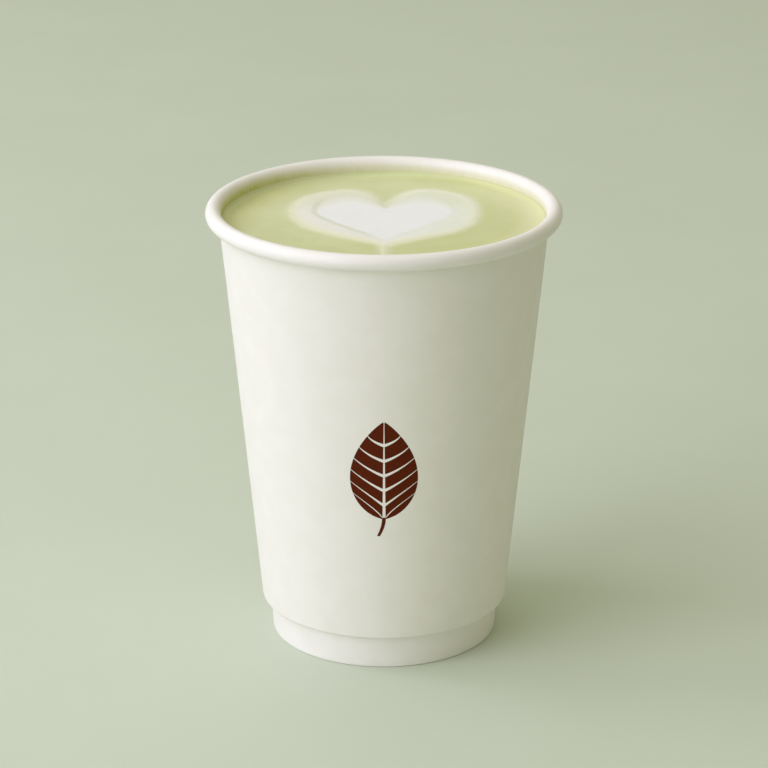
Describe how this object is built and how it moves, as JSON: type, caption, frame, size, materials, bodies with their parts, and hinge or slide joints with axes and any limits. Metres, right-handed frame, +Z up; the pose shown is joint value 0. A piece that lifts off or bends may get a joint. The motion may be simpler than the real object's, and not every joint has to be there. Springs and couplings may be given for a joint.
{
  "type": "matcha latte",
  "caption": "Hot matcha latte with a milk-foam heart, in a white double-wall paper cup with a rolled rim and a stepped foot.",
  "frame": {"origin": "centre of the foot ring, on the surface that the cup stands on", "axes": "+Z up along the cup's axis; -Y towards the front, where the print is and where the heart's tip points"},
  "size_m": [0.09, 0.09, 0.115],
  "materials": {
    "cup_board": "bleached board with a thin satin film on its inside",
    "wall_board": "matt bleached board, warm white, with one dark brown printed leaf",
    "drink": "wet matcha microfoam, pale yellow-green, soft gloss",
    "milk_foam": "wet white milk foam, soft gloss",
    "print": "thin dark brown ink"
  },
  "bodies": {
    "root": {"inner_cup": "cup_board", "base_disc": "cup_board", "outer_wall": "wall_board", "latte": "drink", "heart_foam": "milk_foam"}
  },
  "joints": []
}
